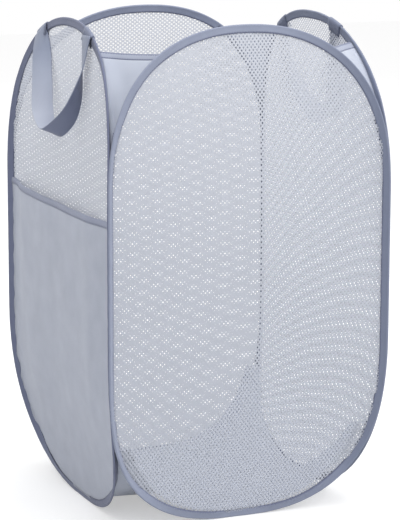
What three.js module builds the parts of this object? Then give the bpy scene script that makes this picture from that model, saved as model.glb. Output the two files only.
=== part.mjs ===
import * as THREE from 'three';

// Pop up laundry hamper: four sprung loops with net stretched across them, joined at their
// straight sides, with a cloth base, cloth webs in the top corners, a side pocket and two
// webbing handles. Millimetres, +Z up, origin on the floor under the middle.

// Overall
const panelSpacing = 356; // between the middle planes of opposite panels
const height = 585;
const clearance = 0.3; // running gap between pieces that touch

// Outline of one panel
const footRun = 24; // flat stretch that a loop stands on
const bottomArcHeight = 221;
const topArcHeight = 203;
const bottomPowers = { across: 2.3, up: 3.1 };
const topPowers = { across: 2.2, up: 2.7 };
const quarterSteps = 9;

// Sprung wire and the ferrule that joins its two ends
const wireWidth = 2.4; // across the panel
const wireThickness = 0.8;
const wireEndGap = 1;
const ferruleWall = 0.4;
const ferruleLength = 24;

// Tape folded round the wire, with the net's edge between its two legs
const tapeThickness = 0.6;
const tapeDepth = 10;
const tapeChamfer = 0.8;

// Net
const netThickness = 0.6;
const netCell = { width: 52, height: 59 };
const netStrandWidth = 6;
const netBorder = 10; // solid edge inside the tape's legs

// Corner seams
const seamBottom = 150;
const seamDrop = 149; // from the crown down to a seam's top
const seamSides = 12;

// Cloth webs in the top corners, with a hem along the top
const clothThickness = 0.6;
const webAttach = 6; // how far a web's edge lies inside the loop's outer edge
const webDrop = 138; // from the crown down to a web's lowest point
const hemDrop = 37; // from the crown down to a hem's top
const hemDepth = 10;
const hemThickness = 2;
const webRows = 5;

// Base cloth
const baseSag = 4.4; // how far its middle hangs below its edge
const baseCornerRiseShare = 1.15; // steepness of the corners

// Pocket on the left panel
const pocketTop = 367;
const pocketBulge = 10;
const pocketColumns = 8;
const pocketSideRows = 3;
const pocketTapeDepth = 8;

// Handles
const strapWidth = 25;
const strapThickness = 1.5;
const strapHalfSpan = 77;
const strapDrop = 124;
const strapSteps = 26;
const strapNarrowPower = 1.15;
const anchorWidth = 27;
const anchorThickness = 1.2;
const anchorDepth = 15;
const pivotRise = 4; // handle axis above the rim's edge at the strap's inner side

// Sizes that follow
const ferruleDepth = wireThickness + 2 * clearance + 2 * ferruleWall;
const ferruleHalf = wireWidth / 2 + clearance + ferruleWall;
const cavityHalf = ferruleHalf + clearance;
const tapeHalf = cavityHalf + tapeThickness;
const cavityEnd = tapeThickness + clearance + ferruleDepth + clearance;
const legInner = netThickness / 2 + clearance;
const legOuter = legInner + tapeThickness;
const legStart = cavityEnd + cavityHalf - legInner;
const cornerOffset = tapeHalf + clearance; // from a corner's plane crossing to a loop's edge
const halfWidth = panelSpacing / 2 - cornerOffset;
const topArcBottom = height - topArcHeight;
const seamTop = height - seamDrop;
const webBottom = height - webDrop;
const hemTop = height - hemDrop;
const wallFace = panelSpacing / 2 - tapeHalf - clearance; // where cloth may come to a loop
const legFace = panelSpacing / 2 - legOuter - clearance; // where it may come to a tape's legs

// Points of a superellipse quarter from the middle of a panel out to its side
function quarterPoint(angle, start, reach, rise, powers) {
  const across = start + reach * Math.pow(Math.cos(angle), 2 / powers.across);
  const up = rise * Math.pow(Math.sin(angle), 2 / powers.up);
  return [across, up];
}

// Right half of the outline, from the foot up to the crown
function rightHalf() {
  const points = [];
  const foot = footRun / 2;
  for (let step = quarterSteps; step >= 0; step -= 1) {
    const angle = (step / quarterSteps) * (Math.PI / 2);
    const [across, up] = quarterPoint(angle, foot, halfWidth - foot, bottomArcHeight, bottomPowers);
    points.push([across, bottomArcHeight - up]);
  }
  for (let step = 0; step < quarterSteps; step += 1) {
    const angle = (step / quarterSteps) * (Math.PI / 2);
    const [across, up] = quarterPoint(angle, 0, halfWidth, topArcHeight, topPowers);
    points.push([across, topArcBottom + up]);
  }
  return points;
}

// Whole outline, anticlockwise as seen from outside the panel
function panelOutline() {
  const right = rightHalf();
  const left = right.map(([u, z]) => [-u, z]).reverse();
  return [...right, [0, height], ...left];
}

const outline = panelOutline();

// Width of the outline's half at a height in the top arc
function topHalfWidth(z) {
  const rise = Math.max(0, (z - topArcBottom) / topArcHeight);
  return halfWidth * Math.pow(1 - Math.pow(rise, topPowers.up), 1 / topPowers.across);
}

// Inward normals of a path in the panel's plane, lengthened at the bends
function inwardNormals(path, closed) {
  const count = path.length;
  return path.map((point, index) => {
    const before = closed || index > 0 ? path[(index + count - 1) % count] : null;
    const after = closed || index < count - 1 ? path[(index + 1) % count] : null;
    const sides = [];
    if (before) sides.push(new THREE.Vector2(point[0] - before[0], point[1] - before[1]).normalize());
    if (after) sides.push(new THREE.Vector2(after[0] - point[0], after[1] - point[1]).normalize());
    const normals = sides.map((side) => new THREE.Vector2(-side.y, side.x));
    const sum = normals.reduce((total, normal) => total.add(normal), new THREE.Vector2());
    const middle = sum.normalize();
    return middle.multiplyScalar(1 / middle.dot(new THREE.Vector2(-sides[0].y, sides[0].x)));
  });
}

function insetPath(path, depth) {
  const normals = inwardNormals(path, true);
  return path.map(([u, z], index) => [u + normals[index].x * depth, z + normals[index].y * depth]);
}

// Indexed geometry from corner points and triangles
function solidFrom(points, triangles) {
  const geometry = new THREE.BufferGeometry();
  geometry.setAttribute('position', new THREE.Float32BufferAttribute(points.flat(), 3));
  geometry.setIndex(triangles.flat());
  geometry.computeVertexNormals();
  return geometry;
}

// Skin over rings of points, each ring a closed section, joined end to end or capped
function skinRings(rings, closed, capTriangles) {
  const size = rings[0].length;
  const triangles = [];
  const last = closed ? rings.length : rings.length - 1;
  for (let ring = 0; ring < last; ring += 1) {
    const here = ring * size;
    const next = ((ring + 1) % rings.length) * size;
    for (let side = 0; side < size; side += 1) {
      const turn = (side + 1) % size;
      triangles.push([here + side, next + side, next + turn]);
      triangles.push([here + side, next + turn, here + turn]);
    }
  }
  if (!closed) {
    const end = (rings.length - 1) * size;
    capTriangles.forEach(([a, b, c]) => {
      triangles.push([a, b, c]);
      triangles.push([end + a, end + c, end + b]);
    });
  }
  return solidFrom(rings.flat(), triangles);
}

// Triangles that close a section, each turning the way that its points run
function capOf(section) {
  const flat = section.map(([x, y]) => new THREE.Vector2(x, y));
  const turn = Math.sign(THREE.ShapeUtils.area(flat));
  return THREE.ShapeUtils.triangulateShape(flat, []).map(([a, b, c]) => {
    const same = Math.sign(THREE.ShapeUtils.area([flat[a], flat[b], flat[c]])) === turn;
    return same ? [a, b, c] : [a, c, b];
  });
}

// Section of depth and side swept along a path in a panel's plane; the section runs so that
// its skin faces outwards
function sweepSection(section, path, closed) {
  const normals = inwardNormals(path, closed);
  const rings = path.map(([u, z], index) => section.map(([depth, side]) => [
    u + normals[index].x * depth,
    -panelSpacing / 2 - side,
    z + normals[index].y * depth,
  ]));
  return skinRings(rings, closed, capOf(section));
}

// Outline's stretch between two places across the panel, along the crown, right to left
function crownSpan(from, to) {
  const crown = outline.filter(([, z]) => z > topArcBottom);
  const heightAt = (u) => {
    const index = crown.findIndex(([x]) => x <= u);
    const [u0, z0] = crown[index - 1];
    const [u1, z1] = crown[index];
    return z0 + ((z1 - z0) * (u - u0)) / (u1 - u0);
  };
  const between = crown.filter(([u]) => u < from && u > to);
  return [[from, heightAt(from)], ...between, [to, heightAt(to)]];
}

function tapeSection() {
  const half = [
    [tapeDepth, legInner], [legStart, legInner], [cavityEnd, cavityHalf], [tapeThickness, cavityHalf],
  ];
  const outer = [
    [0, tapeHalf - tapeChamfer], [tapeChamfer, tapeHalf], [cavityEnd, tapeHalf],
    [legStart, legOuter], [tapeDepth, legOuter],
  ];
  const mirror = (list) => list.map(([depth, side]) => [depth, -side]).reverse();
  return [...outer, ...half, ...mirror(half), ...mirror(outer)];
}

function edgeTape() {
  return sweepSection(tapeSection(), outline, true);
}

const wireDepth = tapeThickness + clearance + ferruleWall + clearance;

function wireLoop() {
  const section = [
    [wireDepth, -wireWidth / 2], [wireDepth, wireWidth / 2],
    [wireDepth + wireThickness, wireWidth / 2], [wireDepth + wireThickness, -wireWidth / 2],
  ];
  const path = [[wireEndGap / 2, 0], ...outline, [-wireEndGap / 2, 0]];
  return sweepSection(section, path, false);
}

function rectangle(low, high, halfSide) {
  return [[low, -halfSide], [high, -halfSide], [high, halfSide], [low, halfSide]];
}

// Sleeve round the wire's two ends, open at both ends
function wireFerrule() {
  const low = tapeThickness + clearance;
  const outer = rectangle(low, low + ferruleDepth, ferruleHalf);
  const shape = new THREE.Shape(outer.map(([x, y]) => new THREE.Vector2(x, y)));
  const inner = rectangle(low + ferruleWall, low + ferruleDepth - ferruleWall, ferruleHalf - ferruleWall);
  shape.holes.push(new THREE.Path(inner.map(([x, y]) => new THREE.Vector2(x, y))));
  const geometry = new THREE.ExtrudeGeometry(shape, { depth: ferruleLength, bevelEnabled: false });
  const turn = new THREE.Matrix4().makeBasis(
    new THREE.Vector3(0, 0, 1), new THREE.Vector3(0, 1, 0), new THREE.Vector3(-1, 0, 0),
  );
  geometry.applyMatrix4(turn);
  geometry.translate(ferruleLength / 2, -panelSpacing / 2, 0);
  return geometry;
}

// Diamond gap of the net, anticlockwise
function diamond(u, z, acrossHalf, upHalf) {
  return [[u + acrossHalf, z], [u, z + upHalf], [u - acrossHalf, z], [u, z - upHalf]];
}

function insideOutline([u, z], border) {
  let crossings = 0;
  border.forEach(([u0, z0], index) => {
    const [u1, z1] = border[(index + 1) % border.length];
    const spans = (z0 > z) !== (z1 > z);
    if (spans && u < u0 + ((z - z0) * (u1 - u0)) / (z1 - z0)) crossings += 1;
  });
  return crossings % 2 === 1;
}

function netGaps() {
  const across = netCell.width / 2;
  const up = netCell.height / 2;
  const reach = (across * up) / Math.hypot(across, up);
  const openShare = (reach - netStrandWidth / 2) / reach;
  const border = insetPath(outline, tapeDepth + netBorder - netStrandWidth);
  const columns = Math.ceil(panelSpacing / netCell.width);
  const rows = Math.ceil(height / netCell.height);
  const gaps = [];
  for (let row = -2 * rows; row <= 2 * rows; row += 1) {
    for (let column = -columns; column <= columns; column += 1) {
      const shift = row % 2 === 0 ? 0 : across;
      const u = column * netCell.width + shift;
      const z = height / 2 + row * up;
      const corners = diamond(u, z, across * openShare, up * openShare);
      if (corners.every((corner) => insideOutline(corner, border))) gaps.push(corners);
    }
  }
  return gaps;
}

function netPanel() {
  const edge = insetPath(outline, legStart + clearance);
  const shape = new THREE.Shape(edge.map(([u, z]) => new THREE.Vector2(u, z)));
  netGaps().forEach((corners) => {
    shape.holes.push(new THREE.Path(corners.map(([u, z]) => new THREE.Vector2(u, z))));
  });
  const geometry = new THREE.ExtrudeGeometry(shape, { depth: netThickness, bevelEnabled: false });
  geometry.rotateX(Math.PI / 2);
  geometry.translate(0, -panelSpacing / 2 + netThickness / 2, 0);
  return geometry;
}

// Round cord of sewn tape where two panels' straight sides meet, at the front left corner
function cornerSeam() {
  const radius = cornerOffset - clearance;
  const length = seamTop - seamBottom;
  const geometry = new THREE.CylinderGeometry(radius, radius, length, seamSides);
  geometry.rotateX(Math.PI / 2);
  geometry.translate(-panelSpacing / 2, -panelSpacing / 2, seamBottom + length / 2);
  return geometry;
}

// Cloth given as a grid of middle points, thickened both ways along its normals
function clothSolid(grid, thickness) {
  const rows = grid.length;
  const columns = grid[0].length;
  const at = (row, column) => row * columns + column;
  const faces = [];
  for (let row = 0; row < rows - 1; row += 1) {
    for (let column = 0; column < columns - 1; column += 1) {
      faces.push([at(row, column), at(row, column + 1), at(row + 1, column + 1)]);
      faces.push([at(row, column), at(row + 1, column + 1), at(row + 1, column)]);
    }
  }
  const middle = solidFrom(grid.flat(), faces);
  const normal = middle.getAttribute('normal');
  const offset = (side) => grid.flat().map(([x, y, z], index) => [
    x + side * normal.getX(index), y + side * normal.getY(index), z + side * normal.getZ(index),
  ]);
  const count = rows * columns;
  const triangles = [...faces, ...faces.map(([a, b, c]) => [count + a, count + c, count + b])];
  const rim = [];
  for (let column = 0; column < columns - 1; column += 1) rim.push(at(0, column));
  for (let row = 0; row < rows - 1; row += 1) rim.push(at(row, columns - 1));
  for (let column = columns - 1; column > 0; column -= 1) rim.push(at(rows - 1, column));
  for (let row = rows - 1; row > 0; row -= 1) rim.push(at(row, 0));
  rim.forEach((here, index) => {
    const next = rim[(index + 1) % rim.length];
    triangles.push([here, count + here, count + next]);
    triangles.push([here, count + next, next]);
  });
  return solidFrom([...offset(thickness / 2), ...offset(-thickness / 2)], triangles);
}

// Web across the front left corner between two heights, ruled from loop to loop
function cornerWeb(low, high, rows, thickness) {
  const wall = wallFace - thickness / 2;
  const grid = [];
  for (let row = 0; row <= rows; row += 1) {
    const z = low + ((high - low) * row) / rows;
    const across = topHalfWidth(z) - webAttach;
    grid.push([[-wall, -across, z], [-across, -wall, z]]);
  }
  return clothSolid(grid, thickness);
}

function topWeb() {
  return cornerWeb(webBottom, hemTop - hemDepth - clearance, webRows, clothThickness);
}

function topHem() {
  return cornerWeb(hemTop - hemDepth, hemTop, 1, hemThickness);
}

// Places across the base and the height of its edge there, from the middle outwards
function baseStations() {
  const inner = insetPath(outline, webAttach);
  const arc = inner.slice(0, quarterSteps - 1);
  const wall = legFace - clothThickness / 2;
  const top = arc[arc.length - 1][1];
  const foot = arc[0][1];
  const stations = [[0, foot], ...arc, [wall, foot + (top - foot) * baseCornerRiseShare]];
  const mirrored = stations.slice(1).map(([across, up]) => [-across, up]).reverse();
  return { places: [...mirrored, ...stations], foot, top, wall, inner: arc[arc.length - 1][0] };
}

// Base cloth: its edge follows the four loops and its corners rise into webs
function baseCloth() {
  const { places, foot, top, wall, inner } = baseStations();
  const rise = (top - foot) * baseCornerRiseShare;
  const grid = places.map(([y, yEdge]) => places.map(([x, xEdge]) => {
    const slack = (1 - (x / wall) ** 2) * (1 - (y / wall) ** 2);
    const z = foot + ((xEdge - foot) * (yEdge - foot)) / rise - baseSag * slack;
    const corner = Math.abs(x) === wall && Math.abs(y) === wall;
    const reach = corner ? (wall + inner) / 2 : wall;
    return [
      THREE.MathUtils.clamp(x, -reach, reach), THREE.MathUtils.clamp(y, -reach, reach), Math.min(z, top),
    ];
  }));
  return clothSolid(grid, clothThickness);
}

// Half width of the pocket at the heights of the loop's lower points
function pocketRows() {
  const inner = insetPath(outline, tapeDepth + clearance);
  const rows = inner.slice(0, quarterSteps + 1);
  const start = rows[rows.length - 1][1];
  const end = pocketTop - tapeThickness - clearance;
  for (let step = 1; step <= pocketSideRows; step += 1) {
    rows.push([halfWidth - tapeDepth - clearance, start + ((end - start) * step) / pocketSideRows]);
  }
  return rows;
}

const pocketTapeHalf = clothThickness / 2 + clearance + tapeThickness;
const pocketSeat = (legInner + legOuter) / 2;
const pocketMouthSeat = netThickness / 2 + clearance + pocketTapeHalf;

// How far the pocket's middle stands off the panel's plane
function pocketStand(acrossShare, z) {
  const openShare = z / pocketTop;
  const seat = pocketSeat + (pocketMouthSeat - pocketSeat) * openShare;
  return seat + pocketBulge * openShare * (1 - acrossShare ** 2);
}

function pocketCloth() {
  const grid = pocketRows().map(([half, z]) => {
    const row = [];
    for (let column = 0; column <= pocketColumns; column += 1) {
      const acrossShare = (2 * column) / pocketColumns - 1;
      row.push([half * acrossShare, -panelSpacing / 2 - pocketStand(acrossShare, z), z]);
    }
    return row;
  });
  return clothSolid(grid, clothThickness);
}

// Tape folded over the pocket's mouth
function pocketMouthTape() {
  const slot = clothThickness / 2 + clearance;
  const low = pocketTop - pocketTapeDepth;
  const shelf = pocketTop - tapeThickness;
  const section = [
    [-pocketTapeHalf, low], [-slot, low], [-slot, shelf], [slot, shelf],
    [slot, low], [pocketTapeHalf, low], [pocketTapeHalf, pocketTop], [-pocketTapeHalf, pocketTop],
  ];
  const half = halfWidth - tapeDepth - clearance;
  const rings = [];
  for (let column = 0; column <= pocketColumns; column += 1) {
    const acrossShare = (2 * column) / pocketColumns - 1;
    const stand = pocketStand(acrossShare, pocketTop);
    rings.push(section.map(([side, z]) => [half * acrossShare, -panelSpacing / 2 - stand - side, z]));
  }
  return skinRings(rings, false, capOf(section));
}

// Handle axis: along the panel, above the rim where the strap's inner side meets it
const rimAtStrap = crownSpan(strapHalfSpan - anchorWidth / 2, 0)[0][1];
const pivotHeight = rimAtStrap + pivotRise;
const strapRoot = tapeHalf + clearance + anchorThickness + clearance + strapThickness / 2;

// Patch of webbing sewn over the rim at a strap's end
function strapAnchor(side) {
  const inner = tapeHalf + clearance;
  const outer = inner + anchorThickness;
  const section = [
    [-clearance - anchorThickness, -outer], [-clearance - anchorThickness, outer], [anchorDepth, outer],
    [anchorDepth, inner], [-clearance, inner], [-clearance, -inner], [anchorDepth, -inner],
    [anchorDepth, -outer],
  ];
  const middle = side * strapHalfSpan;
  const path = crownSpan(middle + anchorWidth / 2, middle - anchorWidth / 2);
  return sweepSection(section, path, false);
}

// Middle, along-the-panel direction and turn of the strap at one step; it hangs as a
// narrowing loop and turns from lying along the panel at its roots to standing out from it
function strapStation(step) {
  const angle = (Math.PI * step) / strapSteps;
  const swing = Math.cos(angle);
  const dropShare = 1 - swing ** 2;
  const u = strapHalfSpan * Math.sign(swing) * Math.pow(Math.abs(swing), strapNarrowPower);
  const turn = (Math.PI / 2) * Math.sqrt(dropShare);
  const stand = strapRoot + (strapWidth / 2) * Math.sin(turn);
  return { middle: [u, -panelSpacing / 2 - stand, pivotHeight - clearance - strapDrop * dropShare], turn };
}

function handleStrap() {
  const stations = [];
  for (let step = 0; step <= strapSteps; step += 1) stations.push(strapStation(step));
  const rings = stations.map(({ middle, turn }, index) => {
    const before = stations[Math.max(0, index - 1)].middle;
    const after = stations[Math.min(strapSteps, index + 1)].middle;
    const run = new THREE.Vector2(after[0] - before[0], after[2] - before[2]).normalize();
    const across = [run.y * Math.cos(turn), -Math.sin(turn), -run.x * Math.cos(turn)];
    const through = [-run.y * Math.sin(turn), -Math.cos(turn), run.x * Math.sin(turn)];
    const corner = (w, t) => middle.map((value, axis) => (
      value + (w * across[axis] * strapWidth) / 2 + (t * through[axis] * strapThickness) / 2));
    return [corner(1, 1), corner(-1, 1), corner(-1, -1), corner(1, -1)];
  });
  return skinRings(rings, false, [[0, 1, 2], [0, 2, 3]]);
}

// Finishes
const finishes = {
  tape: { color: 0x868fa8, roughness: 0.85, metalness: 0 },
  net: { color: 0xc2c7d4, roughness: 0.9, metalness: 0 },
  cloth: { color: 0xa9b0c1, roughness: 0.9, metalness: 0 },
  webbing: { color: 0x7c87a0, roughness: 0.85, metalness: 0 },
  steel: { color: 0x9a9da0, roughness: 0.35, metalness: 1 },
};

function namedMesh(name, geometry, finish) {
  const mesh = new THREE.Mesh(geometry, new THREE.MeshStandardMaterial(finishes[finish]));
  mesh.name = name;
  return mesh;
}

// Everything that one panel carries, built as the front panel
function panelGroup(side) {
  const group = new THREE.Group();
  group.add(namedMesh(`${side}_wire_loop`, wireLoop(), 'steel'));
  group.add(namedMesh(`${side}_wire_ferrule`, wireFerrule(), 'steel'));
  group.add(namedMesh(`${side}_edge_tape`, edgeTape(), 'tape'));
  group.add(namedMesh(`${side}_net`, netPanel(), 'net'));
  return group;
}

function handleMeshes(side) {
  return [
    namedMesh(`${side}_handle_strap`, handleStrap(), 'webbing'),
    namedMesh(`${side}_strap_anchor_a`, strapAnchor(1), 'webbing'),
    namedMesh(`${side}_strap_anchor_b`, strapAnchor(-1), 'webbing'),
  ];
}

// Everything at one corner, built as the front left corner
function cornerGroup(corner) {
  const group = new THREE.Group();
  group.add(namedMesh(`${corner}_seam`, cornerSeam(), 'tape'));
  group.add(namedMesh(`${corner}_top_web`, topWeb(), 'cloth'));
  group.add(namedMesh(`${corner}_top_hem`, topHem(), 'tape'));
  return group;
}

const hamper = new THREE.Group();
['front', 'right', 'back', 'left'].forEach((side, index) => {
  const panel = panelGroup(side);
  if (side === 'left' || side === 'right') panel.add(...handleMeshes(side));
  if (side === 'left') panel.add(namedMesh('side_pocket', pocketCloth(), 'cloth'));
  if (side === 'left') panel.add(namedMesh('pocket_mouth_tape', pocketMouthTape(), 'tape'));
  panel.rotation.z = (index * Math.PI) / 2;
  hamper.add(panel);
});
['front_left', 'front_right', 'back_right', 'back_left'].forEach((corner, index) => {
  const group = cornerGroup(corner);
  group.rotation.z = (index * Math.PI) / 2;
  hamper.add(group);
});
hamper.add(namedMesh('base_cloth', baseCloth(), 'cloth'));

export default hamper;
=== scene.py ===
import math

import bpy
import numpy as np
from mathutils import Matrix, Vector


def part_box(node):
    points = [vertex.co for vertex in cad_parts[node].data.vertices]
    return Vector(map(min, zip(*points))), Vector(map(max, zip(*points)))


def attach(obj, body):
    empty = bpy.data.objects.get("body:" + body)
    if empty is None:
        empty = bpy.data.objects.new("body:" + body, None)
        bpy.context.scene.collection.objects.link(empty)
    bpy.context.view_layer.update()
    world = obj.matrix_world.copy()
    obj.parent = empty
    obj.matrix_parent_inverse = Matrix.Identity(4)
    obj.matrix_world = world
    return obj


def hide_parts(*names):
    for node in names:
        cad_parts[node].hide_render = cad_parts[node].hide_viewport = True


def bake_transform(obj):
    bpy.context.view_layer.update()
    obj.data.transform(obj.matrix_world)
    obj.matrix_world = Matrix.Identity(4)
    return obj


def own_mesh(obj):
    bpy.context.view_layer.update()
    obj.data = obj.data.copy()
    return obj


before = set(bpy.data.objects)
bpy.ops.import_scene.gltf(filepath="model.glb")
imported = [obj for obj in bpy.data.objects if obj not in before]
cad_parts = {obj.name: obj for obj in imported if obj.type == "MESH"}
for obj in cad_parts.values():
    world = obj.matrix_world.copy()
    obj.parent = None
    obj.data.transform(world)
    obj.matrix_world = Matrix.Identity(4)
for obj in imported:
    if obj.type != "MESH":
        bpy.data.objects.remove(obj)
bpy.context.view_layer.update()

# Pop up laundry hamper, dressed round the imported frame. Metres, +Z up.
# A panel is worked out in its own flat coordinates (across, up) and as the front panel,
# then turned about Z to its side.

sideNames = ["front", "right", "back", "left"]
cornerNames = ["front_left", "front_right", "back_right", "back_left"]
_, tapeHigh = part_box("front_edge_tape")
wireLow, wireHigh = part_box("front_wire_loop")
plane = -(wireLow.y + wireHigh.y) / 2   # from the middle to a panel's middle plane
height = tapeHigh.z
diagonal = np.array([1.0, 1.0, 0.0]) / math.sqrt(2)   # inwards from the front left corner


# Camera

view = {
    "azimuth": -0.401, "elevation": 0.1841, "roll": 0.0019,
    "distance": 2.7495, "aimHeight": 0.3, "near": 0.1, "far": 50,
    "focalPixels": 2247.5, "imageWide": 400, "imageTall": 520,
    "centreX": 192.58, "centreY": 247.24, "sensor": 36.0,
}


def makeCamera():
    az, el = view["azimuth"], view["elevation"]
    back = Vector((math.sin(az) * math.cos(el), -math.cos(az) * math.cos(el), math.sin(el)))
    data = bpy.data.cameras.new("camera")
    camera = bpy.data.objects.new("camera", data)
    bpy.context.scene.collection.objects.link(camera)
    camera.location = Vector((0, 0, view["aimHeight"])) + back * view["distance"]
    turn = (-back).to_track_quat("-Z", "Y").to_matrix() @ Matrix.Rotation(view["roll"], 3, "Z")
    camera.rotation_euler = turn.to_euler()
    data.sensor_width = view["sensor"]
    data.lens = view["focalPixels"] * view["sensor"] / view["imageTall"]
    data.shift_x = (view["imageWide"] / 2 - view["centreX"]) / view["imageTall"]
    data.shift_y = (view["centreY"] - view["imageTall"] / 2) / view["imageTall"]
    data.clip_start, data.clip_end = view["near"], view["far"]
    bpy.context.scene.camera = camera


makeCamera()
print("camera placed")


# Node helpers

class Wire:
    # an output socket that takes part in sums, so that node maths reads as Python
    def __init__(self, maker, socket):
        self.maker, self.socket = maker, socket

    def of(self, output):
        # another output of the same node
        return Wire(self.maker, self.socket.node.outputs[output])

    def maths(self, operation, *others):
        values = dict(enumerate((self, *others)))
        return self.maker.node("ShaderNodeMath", {"operation": operation}, values)

    def __add__(self, other):
        return self.maths("ADD", other)

    def __sub__(self, other):
        return self.maths("SUBTRACT", other)

    def __rsub__(self, other):
        return self.maker.node("ShaderNodeMath", {"operation": "SUBTRACT"}, {0: other, 1: self})

    def __mul__(self, other):
        return self.maths("MULTIPLY", other)

    __radd__ = __add__
    __rmul__ = __mul__


class NodeMaker:
    # adds nodes to a tree: a node's type, its settings, then the values or links of its sockets,
    # where a list is several links into one socket
    def __init__(self, tree):
        self.tree = tree

    def node(self, kind, settings=None, values=None, out=0):
        made = self.tree.nodes.new(kind)
        for key, value in (settings or {}).items():
            setattr(made, key, value)
        for key, value in (values or {}).items():
            wires = value if isinstance(value, list) else [value]
            if not isinstance(wires[0], Wire):
                made.inputs[key].default_value = value
                continue
            for wire in wires:
                self.tree.links.new(wire.socket, made.inputs[key])
        return Wire(self, made.outputs[out]) if made.outputs else None


class Paint(NodeMaker):
    # one material, built round its Principled shader
    def __init__(self, name, roughness, sheen=0.0, metallic=0.0, specular=0.25):
        self.material = bpy.data.materials.new(name)
        self.material.use_nodes = True
        super().__init__(self.material.node_tree)
        self.shader = self.tree.nodes["Principled BSDF"]
        self.set("Roughness", roughness)
        self.set("Sheen Weight", sheen)
        self.set("Metallic", metallic)
        self.set("Specular IOR Level", specular)

    def set(self, name, value):
        self.shader.inputs[name].default_value = value

    def letThrough(self):
        # light passes into thin yarn or cloth
        self.set("Subsurface Weight", thinCloth["weight"])
        self.set("Subsurface Radius", (1, 1, 1))
        self.set("Subsurface Scale", thinCloth["depth"])

    def link(self, wire, name):
        self.tree.links.new(wire.socket, self.shader.inputs[name])

    def uv(self, axis):
        # metres along (0) or across (1) a piece
        place = self.node("ShaderNodeUVMap", {"uv_map": "weave"})
        return self.node("ShaderNodeSeparateXYZ", None, {0: place}, axis)

    def noise(self, scale, detail=2.0):
        place = self.node("ShaderNodeTexCoord", out="Object")
        return self.node("ShaderNodeTexNoise", None, {"Vector": place, "Scale": scale, "Detail": detail})

    def blendColours(self, share, one, two):
        return self.node("ShaderNodeMix", {"data_type": "RGBA"}, {0: share, 6: one, 7: two}, 2)

    def finish(self, colour, relief, depth):
        self.link(colour, "Base Color")
        self.link(self.node("ShaderNodeBump", None, {"Height": relief, "Distance": depth}), "Normal")
        return self.material


def srgb(red, green, blue):
    def linear(part):
        share = part / 255
        return share / 12.92 if share <= 0.04045 else ((share + 0.055) / 1.055) ** 2.4
    return (linear(red), linear(green), linear(blue), 1)


def wave(wire, period):
    # goes from 0 to 1 and back once in a period
    return (wire * (2 * math.pi / period)).maths("SINE") * 0.5 + 0.5


def ramp(wire, start, end):
    # 0 before the start, 1 after the end
    return ((wire - start) * (1 / (end - start))).maths("MAXIMUM", 0).maths("MINIMUM", 1)


# Materials. Each takes its lighter and its deeper tone, in sRGB.

thinCloth = {"weight": 0.5, "depth": 0.003}
clothLooks = {
    "roughness": 0.75, "sheen": 0.15, "mottleScale": 38.0, "mottleDetail": 3.0,
    "weaveShare": 0.35, "mottleShare": 0.65, "mottleRelief": 0.6,
}
ribLooks = {
    "roughness": 0.7, "sheen": 0.2, "slant": 0.35, "mottleScale": 60.0, "mottleDetail": 3.0,
    "ribShare": 0.3, "threadShare": 0.15, "mottleShare": 0.55, "ribRelief": 0.7, "threadRelief": 0.5,
    "threadPeriodShare": 0.8, "edgeShadowShare": 0.85,
}
webbingLooks = {"ribPeriod": 0.0016, "threadPeriod": 0.0013, "ribDepth": 0.0002}
netLooks = {"roughness": 0.8, "sheen": 0.1, "fineScale": 220.0, "broadScale": 9.0, "relief": 0.0001}


def clothMaterial(name, colour, darker, period, depth):
    looks = clothLooks
    paint = Paint(name, looks["roughness"], looks["sheen"])
    paint.letThrough()
    weave = wave(paint.uv(0), period) * wave(paint.uv(1), period)
    mottled = paint.noise(looks["mottleScale"], looks["mottleDetail"])
    shade = weave * looks["weaveShare"] + mottled * looks["mottleShare"]
    base = paint.blendColours(shade, srgb(*darker), srgb(*colour))
    return paint.finish(base, weave + mottled * looks["mottleRelief"], depth)


def ribbedPaint(name, colour, darker, ribPeriod, threadPeriod):
    # the paint, where along and across the tape a place lies, its colour and its relief
    looks = ribLooks
    paint = Paint(name, looks["roughness"], looks["sheen"])
    along, across = paint.uv(0), paint.uv(1)
    ribs = wave(along + across * looks["slant"], ribPeriod)
    threads = wave(across, threadPeriod)
    mottled = paint.noise(looks["mottleScale"], looks["mottleDetail"])
    shade = ribs * looks["ribShare"] + threads * looks["threadShare"] + mottled * looks["mottleShare"]
    base = paint.blendColours(shade, srgb(*darker), srgb(*colour))
    return paint, along, across, base, ribs * looks["ribRelief"] + threads * looks["threadRelief"]


def tapeMaterial(name, colour, darker, period, ribDepth, edgeShadow=None, shadeTowardsRight=None):
    # a painted shadow line can run along the tape's two inner edges: its colour, width and the tape's width
    # painted shade can also come in between two places along X, darkening the tape towards the right
    threadPeriod = period * ribLooks["threadPeriodShare"]
    paint, _, across, base, relief = ribbedPaint(name, colour, darker, period, threadPeriod)
    # painted shade: the tape grows darker towards +X
    if shadeTowardsRight:
        place = paint.node("ShaderNodeTexCoord", out="Object")
        x = paint.node("ShaderNodeSeparateXYZ", None, {0: place})
        share = ramp(x, shadeTowardsRight["start"], shadeTowardsRight["end"]) * shadeTowardsRight["share"]
        base = paint.blendColours(share, base, srgb(*shadeTowardsRight["colour"]))
    if edgeShadow:
        # painted shadow along the tape's two inner edges
        inEdgeShadow = across.maths("MINIMUM", edgeShadow["tapeWidth"] - across).maths("LESS_THAN", edgeShadow["width"])
        base = paint.blendColours(inEdgeShadow * ribLooks["edgeShadowShare"], base, srgb(*edgeShadow["colour"]))
    return paint.finish(base, relief, ribDepth)


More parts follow.
